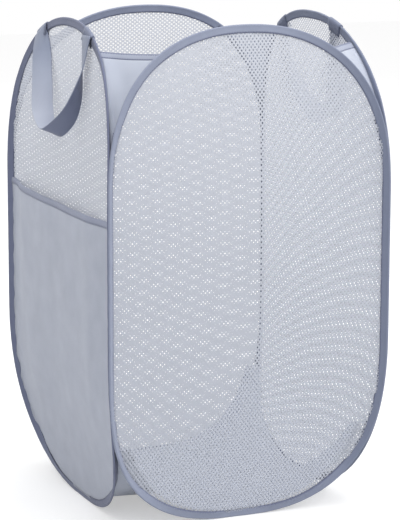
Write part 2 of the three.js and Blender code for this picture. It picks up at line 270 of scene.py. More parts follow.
def webbingMaterial(name, colour, darker, strapSheen, inner):
    # a painted highlight lightens the strap along part of its length, and painted shade darkens its inner
    # face
    looks = webbingLooks
    paint, along, across, base, relief = ribbedPaint(
        name, colour, darker, looks["ribPeriod"], looks["threadPeriod"])
    # painted highlight along part of the strap
    sheenRise = ramp(along, strapSheen["start"], strapSheen["end"])
    past = ramp(along, strapSheen["past"], strapSheen["past"] + strapSheen["ease"])
    base = paint.blendColours(sheenRise * (1 - past) * strapSheen["share"], base, srgb(*strapSheen["colour"]))
    # painted shade on the strap's inner face
    shadedFace = across.maths("LESS_THAN", inner["halfRound"])
    base = paint.blendColours(shadedFace * inner["share"], base, srgb(*inner["colour"]))
    return paint.finish(base, relief, looks["ribDepth"])


def netMaterial(name, colour, darker):
    looks = netLooks
    paint = Paint(name, looks["roughness"], looks["sheen"])
    paint.letThrough()
    mottled = paint.noise(looks["fineScale"])
    shade = mottled * 0.5 + paint.noise(looks["broadScale"]) * 0.5
    base = paint.blendColours(shade, srgb(*darker), srgb(*colour))
    return paint.finish(base, mottled, looks["relief"])


def mottledMaterial(name, colour, darker, roughness, scale, relief, metallic=0.0):
    paint = Paint(name, roughness, metallic=metallic)
    mottled = paint.noise(scale)
    base = paint.blendColours(mottled, srgb(*darker), srgb(*colour))
    return paint.finish(base, mottled, relief)


# The edge tape's section, folded round the wire

tapeSizes = {
    "bead": 0.0015, "legHalf": 0.0009, "depth": 0.0100, "thickness": 0.0005,
    "outerTurns": (62, 90, 118, 146, 172), "innerTurns": (70, 105, 150),
    "middleShare": 0.75, "middleSwell": 1.05, "neckDepths": 2.4, "neckSwell": 1.15, "innerSwell": 1.1,
    "pucker": 0.00012, "puckerSeed": 7, "puckerTurns": (31, 47, 83, 109),
}


def mirrored(points):
    return [(depth, -side) for depth, side in reversed(points)]


def tapeOuter():
    # (depth, side) from one inner end of the tape round the bead's middle
    t = tapeSizes
    bead, half, depth = t["bead"], t["legHalf"], t["depth"]
    outer = [(depth, half), (depth * t["middleShare"], half * t["middleSwell"]),
             (bead * t["neckDepths"], half * t["neckSwell"])]
    for angle in np.radians(t["outerTurns"]):
        outer.append((bead + bead * math.cos(angle), bead * math.sin(angle)))
    return outer + mirrored(outer)


def tapeSection():
    t = tapeSizes
    bead, half, depth, wall = t["bead"], t["legHalf"], t["depth"], t["thickness"]
    inner = [(depth, half - wall), (depth * t["middleShare"], half - wall),
             (bead * t["neckDepths"], half * t["innerSwell"] - wall)]
    for angle in np.radians(t["innerTurns"]):
        inner.append((bead + (bead - wall) * math.cos(angle), (bead - wall) * math.sin(angle)))
    return tapeOuter() + list(reversed(inner + mirrored(inner)))


def tapeWidth():
    return float(np.linalg.norm(np.diff(tapeOuter(), axis=0), axis=1).sum())


def finishTable():
    # painted shadow lines along the tapes' inner edges, darker on the left tape, which is in painted shade
    edgeShadow = {"colour": (104, 110, 136), "width": 0.0011, "tapeWidth": tapeWidth()}
    leftEdgeShadow = dict(edgeShadow, colour=(84, 90, 112))
    # painted shade on the right side of the tapes
    shadeTowardsRight = {"start": 0.02, "end": 0.16, "share": 0.6, "colour": (112, 120, 143)}
    # painted highlight along part of the strap
    strapSheen = {"start": 0.03, "end": 0.125, "past": 0.15, "ease": 0.02,
             "share": 0.75, "colour": (190, 195, 209)}
    # painted shade on the strap's inner face
    inner = {"halfRound": 0.0262, "share": 0.85, "colour": (112, 119, 144)}
    return {
        "tape": tapeMaterial("edge binding", (152, 159, 179), (133, 140, 162), 0.0009, 0.00012, edgeShadow, shadeTowardsRight),
        # the left panel's edge tape: a copy of the edge tape in painted shade
        "shadedLeftTape": tapeMaterial("side binding", (118, 124, 148), (100, 106, 131), 0.0009, 0.00012, leftEdgeShadow),
        "net": netMaterial("net yarn", (193, 198, 211), (182, 187, 200)),
        # the base: the web's cloth painted lighter against the shade inside the hamper
        "cloth": clothMaterial("plain cloth", (204, 210, 223), (194, 200, 214), 0.0007, 0.00006),
        "web": clothMaterial("web cloth", (182, 188, 202), (172, 178, 193), 0.0007, 0.00006),
        # painted shade: the strip in the groove between the tapes is coloured dark
        "seam": clothMaterial("seam strip", (84, 90, 114), (68, 74, 98), 0.0009, 0.00008),
        "pocket": clothMaterial("pocket cloth", (192, 198, 213), (160, 166, 183), 0.0007, 0.00006),
        "mouth": tapeMaterial("pocket mouth tape", (156, 162, 182), (138, 144, 166), 0.0009, 0.00012),
        "webbing": webbingMaterial("handle webbing", (148, 156, 176), (132, 140, 161), strapSheen, inner),
        # the webbing lapped over the rim: a copy of the webbing in painted shade
        "lapped": tapeMaterial("lapped webbing", (128, 135, 157), (112, 119, 142), 0.0016, 0.0002),
        "thread": mottledMaterial("sewing thread", (136, 142, 164), (112, 118, 141), 0.6, 300.0, 0.0001),
        "steel": mottledMaterial("spring steel", (182, 184, 188), (150, 152, 156), 0.3, 90.0, 0.00005, 1.0),
    }


finishes = finishTable()
print("finishes made")


# Mesh helpers

def turned(points, quarter):
    # from the front panel to another side
    points = np.asarray(points, float)
    x, y, z = points[..., 0], points[..., 1], points[..., 2]
    for _ in range(quarter):
        x, y = -y, x
    return np.stack([x, y, z], axis=-1)


def lengths(steps):
    return np.linalg.norm(steps, axis=-1)


def runOf(steps):
    # how far each place lies from the first, from the steps between them
    return np.concatenate([[0], np.cumsum(steps)])


def shadeFaces(mesh, smooth):
    mesh.polygons.foreach_set("use_smooth", [smooth] * len(mesh.polygons))


def addObject(name, mesh, material, smooth=True):
    piece = bpy.data.objects.new(name, mesh)
    bpy.context.scene.collection.objects.link(piece)
    mesh.materials.clear()
    mesh.materials.append(material)
    shadeFaces(mesh, smooth)
    return piece


def signedVolume(points, faces):
    total = 0.0
    for face in faces:
        first = points[face[0]]
        for one, two in zip(face[1:-1], face[2:]):
            total += np.dot(first, np.cross(points[one], points[two]))
    return total


def skin(name, rings, material, along=None, across=None, closedAlong=False, closedAcross=True):
    # rings of points joined into one surface, with UVs in metres
    rings = np.asarray(rings, float)
    rows, columns = rings.shape[:2]
    points = rings.reshape(-1, 3)
    if along is None:
        along = runOf(lengths(np.diff(rings.mean(axis=1), axis=0)))
    if across is None:
        across = runOf(lengths(np.diff(np.concatenate([rings[0], rings[0][:1]]), axis=0)))
    faces, uvs = [], []
    for row in range(rows if closedAlong else rows - 1):
        here, there = row * columns, ((row + 1) % rows) * columns
        for column in range(columns if closedAcross else columns - 1):
            beside = (column + 1) % columns
            faces.append((here + column, here + beside, there + beside, there + column))
            low, high, left, right = along[row], along[row + 1], across[column], across[column + 1]
            uvs += [(low, left), (low, right), (high, right), (high, left)]
    if closedAcross and not closedAlong:
        last = (rows - 1) * columns
        faces.append(tuple(reversed(range(columns))))
        faces.append(tuple(range(last, last + columns)))
        uvs += [(0, across[i]) for i in reversed(range(columns))]
        uvs += [(along[rows - 1], across[i]) for i in range(columns)]
    mesh = bpy.data.meshes.new(name)
    mesh.from_pydata(points.tolist(), [], faces)
    layer = mesh.uv_layers.new(name="weave")
    layer.data.foreach_set("uv", np.asarray(uvs, np.float32).ravel())
    if closedAcross and signedVolume(points, faces) < 0:
        mesh.flip_normals()
    mesh.update()
    return addObject(name, mesh, material)


def baked(piece):
    # modifiers turned into mesh
    graph = bpy.context.evaluated_depsgraph_get()
    mesh = bpy.data.meshes.new_from_object(piece.evaluated_get(graph))
    piece.modifiers.clear()
    piece.data = mesh
    return piece


def crossedWaves(x, y, turns):
    # soft unevenness of a cloth, from -1 to 1
    one, two, three, four = turns
    return math.sin(x * one + y * two) * math.sin(y * three - x * four)


def clothPiece(name, grid, material, thickness, facing):
    # a sheet from a grid of middle points, given its thickness
    grid = np.asarray(grid, float)
    along = runOf(lengths(np.diff(grid, axis=0)).mean(axis=1))
    across = runOf(lengths(np.diff(grid, axis=1)).mean(axis=0))
    piece = skin(name, grid, material, along, across, closedAcross=False)
    normal = sum((Vector(face.normal) * face.area for face in piece.data.polygons), Vector())
    if normal.dot(Vector(facing)) < 0:
        piece.data.flip_normals()
    wall = piece.modifiers.new("wall", "SOLIDIFY")
    wall.thickness, wall.offset = thickness, 0
    return baked(piece)


def gridArea(grid):
    # area of the sheet that a grid of points describes
    grid = np.asarray(grid, float)
    one, two = grid[1:, 1:] - grid[:-1, :-1], grid[1:, :-1] - grid[:-1, 1:]
    return float(lengths(np.cross(one, two)).sum() / 2)


# Outline of a panel and the way that it bows inwards

outlineSizes = {
    "halfWidth": 0.1772, "foot": 0.012, "bottomArc": 0.221, "topArc": 0.203,
    "bottomPowers": (2.3, 3.1), "topPowers": (2.2, 2.7), "points": 300, "turns": 4000,
}
bowSizes = {
    "bottom": 0.0339, "bottomEnd": 0.211, "top": 0.022, "topStart": 0.382, "slopeStep": 0.001,
    "finHeights": (0.012, 0.030, 0.052, 0.080, 0.105, 0.440, 0.495, 0.548, 0.580),
    "finTurns": (0, 22, 48, 50, 45, 45, 23, 20, 0), "finEase": 0.008, "easeShares": (-1, -0.5, 0, 0.5, 1),
}
topArcStart = height - outlineSizes["topArc"]


def smoothStep(value, low, high):
    share = np.clip((value - low) / (high - low), 0, 1)
    return share * share * (3 - 2 * share)


def rawOutline():
    o = outlineSizes
    angles = np.linspace(0, math.pi / 2, o["turns"])
    across, up = o["bottomPowers"]
    reach = o["halfWidth"] - o["foot"]
    low = np.stack([
        o["foot"] + reach * np.cos(angles) ** (2 / across),
        o["bottomArc"] * (1 - np.sin(angles) ** (2 / up)),
    ], axis=1)[::-1]
    across, up = o["topPowers"]
    high = np.stack([
        o["halfWidth"] * np.cos(angles) ** (2 / across),
        topArcStart + o["topArc"] * np.sin(angles) ** (2 / up),
    ], axis=1)
    right = np.concatenate([low, high])
    return np.concatenate([right, (right * [-1, 1])[::-1]])


def evenly(points, count):
    # the same closed line with its points at even steps
    closed = np.concatenate([points, points[:1]])
    run = runOf(lengths(np.diff(closed, axis=0)))
    places = np.linspace(0, run[-1], count, endpoint=False)
    return np.stack([np.interp(places, run, closed[:, k]) for k in range(closed.shape[1])], axis=1)


outline = evenly(rawOutline(), outlineSizes["points"])


def halfWidthAt(z):
    z = np.asarray(z, float)
    o = outlineSizes
    across, up = o["bottomPowers"]
    sunk = np.clip((o["bottomArc"] - z) / o["bottomArc"], 0, 1)
    low = o["foot"] + (o["halfWidth"] - o["foot"]) * (1 - sunk ** up) ** (1 / across)
    across, up = o["topPowers"]
    raised = np.clip((z - topArcStart) / o["topArc"], 0, 1)
    return np.minimum(low, o["halfWidth"] * (1 - raised ** up) ** (1 / across))


def bow(z):
    # how far a panel's edge lies inside its plane
    b = bowSizes
    low = np.clip((b["bottomEnd"] - z) / b["bottomEnd"], 0, 1)
    high = np.clip((z - b["topStart"]) / (height - b["topStart"]), 0, 1)
    return b["bottom"] * low ** 2 + b["top"] * high ** 2


def bowSlope(z):
    step = bowSizes["slopeStep"]
    return (bow(z + step) - bow(z - step)) / (2 * step)


def finTurn(z):
    # how far the cloth sewn to the tape turns it into the hamper
    b = bowSizes
    turns = [np.interp(z + share * b["finEase"], b["finHeights"], b["finTurns"])
             for share in b["easeShares"]]
    return np.radians(sum(turns) / len(turns))


def edgeAxes(line, closed=True):
    # places along a panel's edge, and the directions of depth and side there
    # an open stretch lies along the crown, and only the bow turns it
    if closed:
        tangent = np.roll(line, -1, axis=0) - np.roll(line, 1, axis=0)
        turn = finTurn(line[:, 1])
    else:
        tangent = np.gradient(line, axis=0)
        turn = 0
    tangent /= lengths(tangent)[:, None]
    inward = np.stack([-tangent[:, 1], tangent[:, 0]], axis=1)
    angle = turn + np.arctan(bowSlope(line[:, 1]) * inward[:, 1])
    base = np.stack([line[:, 0], -plane + bow(line[:, 1]), line[:, 1]], axis=1)
    cos, sin = np.cos(angle)[:, None], np.sin(angle)[:, None]
    flat = np.stack([inward[:, 0], np.zeros(len(line)), inward[:, 1]], axis=1)
    across = np.array([[0.0, 1.0, 0.0]])
    return base, flat * cos + across * sin, across * cos - flat * sin


def sectionRings(axes, section, shift=0.0):
    # a section of (depth, side) points at each place along an edge
    base, depth, side = axes
    section = np.asarray(section, float)
    shift = np.broadcast_to(shift, len(base))[:, None, None]
    return (base[:, None, :] + depth[:, None, :] * section[None, :, :1]
            + side[:, None, :] * (section[None, :, 1:] + shift))


def sweptEdge(name, section, material, quarter, wobble=0.0):
    axes = edgeAxes(outline)
    rings = sectionRings(axes, section, wobble)
    along = runOf(lengths(np.roll(axes[0], -1, axis=0) - axes[0]))
    return skin(name, turned(rings, quarter), material, along=along, closedAlong=True)


# Edge tape, wire and ferrule

def puckers():
    # small waves that the stitching pulls into the tape
    t = tapeSizes
    phase = np.random.default_rng(t["puckerSeed"]).uniform(0, 2 * math.pi, len(t["puckerTurns"]))
    run = np.arange(len(outline)) / len(outline) * 2 * math.pi
    waves = sum(np.sin(run * turns + start) for turns, start in zip(t["puckerTurns"], phase))
    return waves * t["pucker"] / 2


wireSizes = {
    "width": 0.0015, "thickness": 0.0006, "depth": 0.0015,
    "ferrule": 0.024, "ferruleBelow": 0.01, "sleeve": 0.0001,
}


def wireSection(grow=0.0):
    w = wireSizes
    half, wide = w["thickness"] / 2 + grow, w["width"] / 2 + grow
    low, high = w["depth"] - half, w["depth"] + half
    return [(low, -wide), (high, -wide), (high, wide), (low, wide)]


def makeWire(side, quarter):
    return sweptEdge(f"{side}_wire", wireSection(), finishes["steel"], quarter)


def makeFerrule(side, quarter):
    w = wireSizes
    near = [i for i, (across, up) in enumerate(outline)
            if up < w["ferruleBelow"] and abs(across) < w["ferrule"] / 2]
    near.sort(key=lambda i: outline[i, 0])
    rings = sectionRings([part[near] for part in edgeAxes(outline)], wireSection(w["sleeve"]))
    return skin(f"{side}_ferrule", turned(rings, quarter), finishes["steel"])


# Net surface: it hangs from the tape's inner ends like a stretched membrane

netSizes = {
    "step": 0.0045, "rounds": 1500, "batch": 4000, "justInside": 1.001,
    "edgeInset": 0.0040, "edgeSpare": 0.0060, "rayLength": 1.0,
    "cellShort": 0.0048, "cellLong": 0.0064, "cells": 200, "openShare": 0.450, "relief": 0.00012,
    "warp": 0.0030, "warpScale": 8.0, "seeds": (3, 11, 19, 27), "weld": 2e-6,
}


def edgeDistance(points):
    # how far points of a panel lie inside its outline
    batch = netSizes["batch"]
    nearest = np.concatenate([
        lengths(points[start:start + batch, None, :] - outline[None, :, :]).min(axis=1)
        for start in range(0, len(points), batch)])
    return np.where(np.abs(points[:, 0]) < halfWidthAt(points[:, 1]), nearest, -nearest)


def netStand(distance, z):
    # how far in the net lies where the tape holds it
    turn = finTurn(z)
    flatDepth = tapeSizes["depth"] * np.cos(turn)
    return bow(z) + np.clip(distance, 0, flatDepth) * np.tan(turn), distance > flatDepth


def netField():
    # places over a panel, each one's distance inside the outline and how far in the net stands there
    step = netSizes["step"]
    half = math.ceil(plane / step)
    across = np.arange(-half, half + 1) * step
    up = np.linspace(0, height, int(height / step) + 1)
    spots = np.stack(np.meshgrid(across, up), axis=-1)
    distance = edgeDistance(spots.reshape(-1, 2)).reshape(spots.shape[:2])
    stand, free = netStand(distance, spots[..., 1])
    free[[0, -1]] = False
    free[:, [0, -1]] = False
    for _ in range(netSizes["rounds"]):
        around = (np.roll(stand, 1, 0) + np.roll(stand, -1, 0) + np.roll(stand, 1, 1)
                  + np.roll(stand, -1, 1)) / 4
        stand = np.where(free, around, stand)
    return across, up, spots, distance, stand


fieldAcross, fieldUp, fieldSpots, fieldDistance, fieldStand = netField()
fieldRise = fieldUp[1] - fieldUp[0]


def standAt(points):
    # the net's distance inwards from the panel's plane, between the field's places
    points = np.asarray(points, float)
    inside = netSizes["justInside"]
    column = np.clip((points[..., 0] - fieldAcross[0]) / netSizes["step"], 0, len(fieldAcross) - inside)
    row = np.clip(points[..., 1] / fieldRise, 0, len(fieldUp) - inside)
    c, r = column.astype(int), row.astype(int)
    fc, fr = column - c, row - r
    low = fieldStand[r, c] * (1 - fc) + fieldStand[r, c + 1] * fc
    high = fieldStand[r + 1, c] * (1 - fc) + fieldStand[r + 1, c + 1] * fc
    return low * (1 - fr) + high * fr


def netSurface():
    # the sheet that the lattice is laid on, larger than the tape's opening, with each place's inset
    keep = fieldDistance > -netSizes["edgeSpare"]
    rows, columns = keep.shape
    places = np.stack([fieldSpots[..., 0], -plane + fieldStand, fieldSpots[..., 1]], axis=-1)
    faces = []
    for row in range(rows - 1):
        for column in range(columns - 1):
            if keep[row:row + 2, column:column + 2].all():
                first = row * columns + column
                faces.append((first, first + 1, first + columns + 1, first + columns))
    mesh = bpy.data.meshes.new("netSurface")
    mesh.from_pydata(places.reshape(-1, 3).tolist(), [], faces)
    mesh.attributes.new("inset", "FLOAT", "POINT").data.foreach_set("value", fieldDistance.ravel())
    return addObject("netSurface", mesh, finishes["net"])


class Tree(NodeMaker):
    # a Geometry Nodes tree with named inputs, some of them plain numbers
    def __init__(self, name, inputs, numbers):
        super().__init__(bpy.data.node_groups.new(name, "GeometryNodeTree"))
        sockets = self.tree.interface
        sockets.new_socket("Geometry", in_out="INPUT", socket_type="NodeSocketGeometry")
        listed = inputs | {label: ("NodeSocketFloat", value) for label, value in numbers.items()}
        self.names = {}
        for label, (kind, value) in listed.items():
            socket = sockets.new_socket(label, in_out="INPUT", socket_type=kind)
            self.names[label] = (socket.identifier, value)
        sockets.new_socket("Geometry", in_out="OUTPUT", socket_type="NodeSocketGeometry")
        self.start = self.node("NodeGroupInput")

    def input(self, label):
        return self.start.of(label)

    def marked(self, geometry, label, value, domain="POINT"):
        # keeps a yes or no on each point or edge
        settings = {"data_type": "BOOLEAN", "domain": domain}
        values = {"Geometry": geometry, "Name": label, "Value": value}
        return self.node("GeometryNodeStoreNamedAttribute", settings, values)

    def mark(self, label, kind="BOOLEAN"):
        return self.node("GeometryNodeInputNamedAttribute", {"data_type": kind}, {"Name": label})

    def logic(self, operation, *marks):
        return self.node("FunctionNodeBooleanMath", {"operation": operation}, dict(enumerate(marks)))

    def finish(self, geometry, material):
        real = self.node("GeometryNodeRealizeInstances", None, {"Geometry": geometry})
        dressed = self.node("GeometryNodeSetMaterial", None, {"Geometry": real, "Material": material})
        self.node("NodeGroupOutput", None, {0: dressed})

    def run(self, piece, **values):
        maker = piece.modifiers.new("maker", "NODES")
        maker.node_group = self.tree
        for label, (identifier, value) in self.names.items():
            maker[identifier] = values.get(label, value)
        return baked(piece)


def laidGrid(tree):
    # the slanted grid of cells, drawn a little out of line, still in front of the panel
    cells = tree.input("cells")
    grid = tree.node("GeometryNodeMeshGrid", None, {
        "Size X": cells, "Size Y": cells, "Vertices X": cells + 1.0, "Vertices Y": cells + 1.0})
    x = tree.node("ShaderNodeSeparateXYZ", None, {0: tree.node("GeometryNodeInputPosition")})
    y = x.of(1)
    across = (x - y) * (tree.input("cellWidth") * 0.5)
    up = (x + y) * (tree.input("cellHeight") * 0.5)
    flatSpot = tree.node("ShaderNodeCombineXYZ", None, {0: across, 1: tree.input("seed"), 2: up})
    drift = tree.node("ShaderNodeTexNoise", None, {
        "Vector": flatSpot, "Scale": tree.input("warpScale"), "Detail": 1.0}, "Color")
    drifts = tree.node("ShaderNodeSeparateXYZ", None, {0: drift})
    across = across + (drifts - 0.5) * tree.input("warp")
    up = up + (drifts.of(1) - 0.5) * tree.input("warp")
    spot = tree.node("ShaderNodeCombineXYZ", None, {
        0: across, 1: tree.input("away"), 2: up + tree.input("middle")})
    return tree.node("GeometryNodeSetPosition", None, {"Geometry": grid, "Position": spot})


def netTree():
    n = netSizes
    numbers = {key: n[key] for key in ("openShare", "relief", "edgeInset", "warp", "warpScale")}
    numbers |= {"cellWidth": n["cellShort"], "cellHeight": n["cellLong"],
                "middle": height / 2, "away": -2 * plane, "seed": 0.0}
    tree = Tree("netWeave", {
        "surface": ("NodeSocketObject", None), "yarn": ("NodeSocketMaterial", None),
        "cells": ("NodeSocketInt", n["cells"])}, numbers)
    laid = laidGrid(tree)

    # each corner of the grid is moved back onto the surface, and what lies past the tape is cut off
    surface = tree.node("GeometryNodeObjectInfo", None, {"Object": tree.input("surface")}, "Geometry")
    hit = tree.node("GeometryNodeRaycast", None, {
        "Target Geometry": surface, "Attribute": tree.mark("inset", "FLOAT"),
        "Ray Direction": (0, 1, 0), "Ray Length": n["rayLength"]}, "Is Hit")
    deepEnough = tree.node("FunctionNodeCompare", {"data_type": "FLOAT", "operation": "GREATER_THAN"}, {
        0: hit.of("Attribute"), 1: tree.input("edgeInset")})
    onPanel = tree.marked(laid, "onPanel", tree.logic("AND", hit, deepEnough))
    dropped = tree.node("GeometryNodeSetPosition", None, {
        "Geometry": onPanel, "Selection": hit, "Position": hit.of("Hit Position")})
    trimmed = tree.node("GeometryNodeDeleteGeometry", {"domain": "FACE"}, {
        "Geometry": dropped, "Selection": tree.logic("NOT", tree.mark("onPanel"))})

    # a hole is opened in each cell
    uses = tree.node("GeometryNodeInputMeshEdgeNeighbors")
    lone = tree.node("FunctionNodeCompare", {"data_type": "INT", "operation": "EQUAL"}, {2: uses, 3: 1})
    pushed = tree.node("GeometryNodeExtrudeMesh", {"mode": "FACES"}, {
        "Mesh": tree.marked(trimmed, "rim", lone, "EDGE"), "Offset Scale": 0.0, "Individual": True})
    top = pushed.of("Top")
    shrunk = tree.node("GeometryNodeScaleElements", {"domain": "FACE"}, {
        "Geometry": pushed, "Selection": top, "Scale": tree.input("openShare")})
    opened = tree.node("GeometryNodeDeleteGeometry", {"domain": "FACE", "mode": "ONLY_FACE"}, {
        "Geometry": tree.marked(shrunk, "hole", top), "Selection": top})

    # the yarn swells to both sides between the holes
    yarn = tree.logic("NOR", tree.mark("hole"), tree.mark("rim"))
    faces = []
    for sign in (-1.0, 1.0):
        shift = tree.node("ShaderNodeCombineXYZ", None, {1: tree.input("relief") * sign})
        faces.append(tree.node("GeometryNodeSetPosition", None, {
            "Geometry": opened, "Selection": yarn, "Offset": shift}))
    back = tree.node("GeometryNodeFlipFaces", None, {"Mesh": faces[1]})
    closed = tree.node("GeometryNodeJoinGeometry", None, {0: [faces[0], back]})
    welded = tree.node("GeometryNodeMergeByDistance", None, {"Geometry": closed, "Distance": n["weld"]})
    tree.finish(welded, tree.input("yarn"))
    return tree


def makeNets():
    surface, weaver = netSurface(), netTree()
    short, long = netSizes["cellShort"], netSizes["cellLong"]
    nets = []
    for quarter, side in enumerate(sideNames):
        net = addObject(f"{side}_mesh_panel", bpy.data.meshes.new("netMaker"), finishes["net"])
        # the fabric of two sides is cut along its length, that of the other two across it
        wide, tall = (long, short) if side in ("right", "back") else (short, long)
        weaver.run(net, surface=surface, yarn=finishes["net"], cellWidth=wide, cellHeight=tall,
                   seed=float(netSizes["seeds"][quarter]))
        points = np.empty(len(net.data.vertices) * 3)
        net.data.vertices.foreach_get("co", points)
        net.data.vertices.foreach_set("co", turned(points.reshape(-1, 3), quarter).ravel())
        shadeFaces(net.data, False)
        net.data.update()
        nets.append(net)
    triangles = [sum(len(face.vertices) - 2 for face in net.data.polygons) for net in nets]
    print("net triangles in each panel", triangles)
    bpy.data.objects.remove(surface)
    return nets


# Stitches, set along a line with the side that they show

stitchSizes = {"pitch": 0.0034, "length": 0.0025, "width": 0.0005, "inset": 0.0086, "stand": 0.0001}


def stitchTree():
    numbers = {key: stitchSizes[key] for key in ("pitch", "length", "width")}
    tree = Tree("stitchRow", {"thread": ("NodeSocketMaterial", None)}, numbers)
    line = tree.node("GeometryNodeMeshToCurve", None, {"Mesh": tree.start})
    spaced = tree.node("GeometryNodeResampleCurve", {"mode": "LENGTH"},
                       {"Curve": line, "Length": tree.input("pitch")})
    turn = tree.node("FunctionNodeAxesToRotation", {"primary_axis": "X", "secondary_axis": "Z"}, {
        0: tree.node("GeometryNodeInputTangent"), 1: tree.mark("outward", "FLOAT_VECTOR")})
    bead = tree.node("GeometryNodeMeshIcoSphere", None, {"Radius": 0.5, "Subdivisions": 1})
    size = tree.node("ShaderNodeCombineXYZ", None, {
        0: tree.input("length"), 1: tree.input("width"), 2: tree.input("width")})
    placed = tree.node("GeometryNodeInstanceOnPoints", None, {
        "Points": spaced, "Instance": bead, "Rotation": turn, "Scale": size})
    tree.finish(placed, tree.input("thread"))
    return tree


stitcher = stitchTree()


def stitchRows(name, rows, quarter, **sizes):
    # rows are (points, the direction that they show, closed)
    points, outward, edges = [], [], []
    for line, directions, closed in rows:
        first, last = len(points), len(points) + len(line) - 1
        points += turned(line, quarter).tolist()
        outward += turned(np.broadcast_to(directions, np.shape(line)), quarter).tolist()
        edges += [(i, i + 1) for i in range(first, last)]
        if closed:
            edges.append((last, first))
    mesh = bpy.data.meshes.new(name)
    mesh.from_pydata(points, edges, [])
    mesh.attributes.new("outward", "FLOAT_VECTOR", "POINT").data.foreach_set("vector", np.ravel(outward))
    piece = addObject(name, mesh, finishes["thread"])
    return stitcher.run(piece, thread=finishes["thread"], **sizes)


def tapeStitches(side, quarter):
    base, depth, sideways = edgeAxes(outline)
    rows = []
    for sign in (-1, 1):
        stand = sign * (tapeSizes["legHalf"] + stitchSizes["stand"])
        rows.append((base + depth * stitchSizes["inset"] + sideways * stand, sideways * sign, True))
    return stitchRows(f"{side}_tape_stitches", rows, quarter)


# Panels


def flatten(piece):
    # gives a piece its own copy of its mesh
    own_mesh(piece)


def ridePanel(piece, quarter):
    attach(piece, f"{sideNames[quarter]}_panel")
    flatten(piece)


def makePanels():
    nets = makeNets()
    area = float((fieldDistance > netSizes["edgeInset"]).sum() * netSizes["step"] * fieldRise)
    for quarter, side in enumerate(sideNames):
        # the left panel takes the copy of the tape in painted shade
        material = finishes["shadedLeftTape"] if side == "left" else finishes["tape"]
        tape = sweptEdge(f"{side}_binding", tapeSection(), material, quarter, puckers())
        wire = makeWire(side, quarter)
        ferrule = makeFerrule(side, quarter)
        stitches = tapeStitches(side, quarter)
        net = nets[quarter]
        for piece, slot, node in [
            (tape, "edge_tape", "edge_tape"), (net, "net", "net"),
            (wire, "spring_steel", "wire_loop"), (ferrule, "spring_steel", "wire_ferrule"),
        ]:
            ridePanel(piece, quarter)
            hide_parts(f"{side}_{node}")
        ridePanel(stitches, quarter)


makePanels()
print("panels made")


# Corner seams: a strip of cloth between the two tapes, coloured dark as painted shade in the groove

seamSizes = {
    "low": 0.088, "high": 0.470, "thickness": 0.0011, "leastHalf": 0.0001, "endPower": 0.25,
    "depth": 0.0080, "recess": 0.0022, "steps": 60,
}


def makeSeam(quarter):
    s = seamSizes
    sideways = np.array([1, -1, 0]) / math.sqrt(2)
    near, far = s["recess"], s["recess"] + s["depth"]
    rings = []
    for z in np.linspace(s["low"], s["high"], s["steps"]):
        ends = math.sin(math.pi * (z - s["low"]) / (s["high"] - s["low"])) ** s["endPower"]
        half = s["thickness"] / 2 * ends + s["leastHalf"]
        corner = np.array([-halfWidthAt(z), -halfWidthAt(z), z])
        section = [(near, -half), (near, half), (far, half), (far, -half)]
        rings.append([corner + diagonal * deep + sideways * wide for deep, wide in section])
    piece = skin(f"{cornerNames[quarter]}_seam_strip", turned(rings, quarter), finishes["seam"])
    body, wallAt = ("front_panel", -plane) if quarter < 2 else ("back_panel", plane)
    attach(piece, body)
    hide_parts(f"{cornerNames[quarter]}_seam")
    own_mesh(piece)


for corner in range(4):
    makeSeam(corner)
print("corner seams made")


# Webs across the top corners, each with its hem

webSizes = {
    "attach": 0.0065, "bottom": 0.447, "stand": 0.0011, "thickness": 0.0005, "rows": 26, "columns": 30,
    "belly": 0.006, "bellyShare": 0.8, "fullSpread": 0.04, "dip": 0.0015,
    "ripple": 0.0006, "rippleTurns": (9, 14),
}
hemSizes = {
    "top": 0.5550, "depth": 0.0066, "thickness": 0.0014, "lapShare": 0.7, "rollShare": 0.25,
    "footShare": 0.9, "stitchDrops": (0.0012, 0.0054), "stitchEnds": (0.02, 0.98), "stitchPlaces": 30,
    "pitch": 0.003, "stitchLength": 0.0021,
}


def hemMaterial():
    # painted shade: darker lines run along the hem's fold and along its sewn edge
    hemEdgeShade = {"colour": (112, 118, 142), "width": 0.0011, "tapeWidth": hemSizes["depth"]}
    return tapeMaterial("hem cloth", (164, 170, 187), (150, 156, 175), 0.0007, 0.00008, hemEdgeShade)


finishes["hem"] = hemMaterial()


def webPoint(z, share):
    # between the left loop and the front loop at one height
    w = webSizes
    turn = float(finTurn(z))
    across = float(halfWidthAt(z)) - w["attach"] * math.cos(turn)
    inset = float(bow(z)) + w["attach"] * math.sin(turn) + w["stand"] * math.cos(turn)
    start = np.array([-(plane - inset), -across, z])
    end = np.array([-across, -(plane - inset), z])
    spread = np.linalg.norm(end - start)
    arch = 4 * share * (1 - share)
    rise = (z - w["bottom"]) / (hemSizes["top"] - w["bottom"])
    fullness = math.sin(math.pi * min(1, max(0, rise)) * w["bellyShare"]) * min(1, spread / w["fullSpread"])
    acrossTurns, upTurns = w["rippleTurns"]
    ripple = w["ripple"] * math.sin(share * acrossTurns + rise * upTurns)
    inwards = diagonal * (w["belly"] * fullness + ripple) * arch
    return start + (end - start) * share + inwards - np.array([0, 0, w["dip"] * arch * max(0, rise)])


def makeHem(corner, quarter):
    h = hemSizes
    half, roll = h["thickness"] / 2, h["thickness"] * h["rollShare"]
    section = [(0, roll), (roll, half), (h["depth"] - roll, half * h["footShare"]), (h["depth"], roll)]
    section += mirrored(section)
    rings = [[webPoint(h["top"] - drop, share) + diagonal * side for drop, side in section]
             for share in np.linspace(0, 1, 2 * webSizes["columns"])]
    across = [drop for drop, side in section] + [0]
    return skin(f"{corner}_hem", turned(rings, quarter), finishes["hem"], across=across)


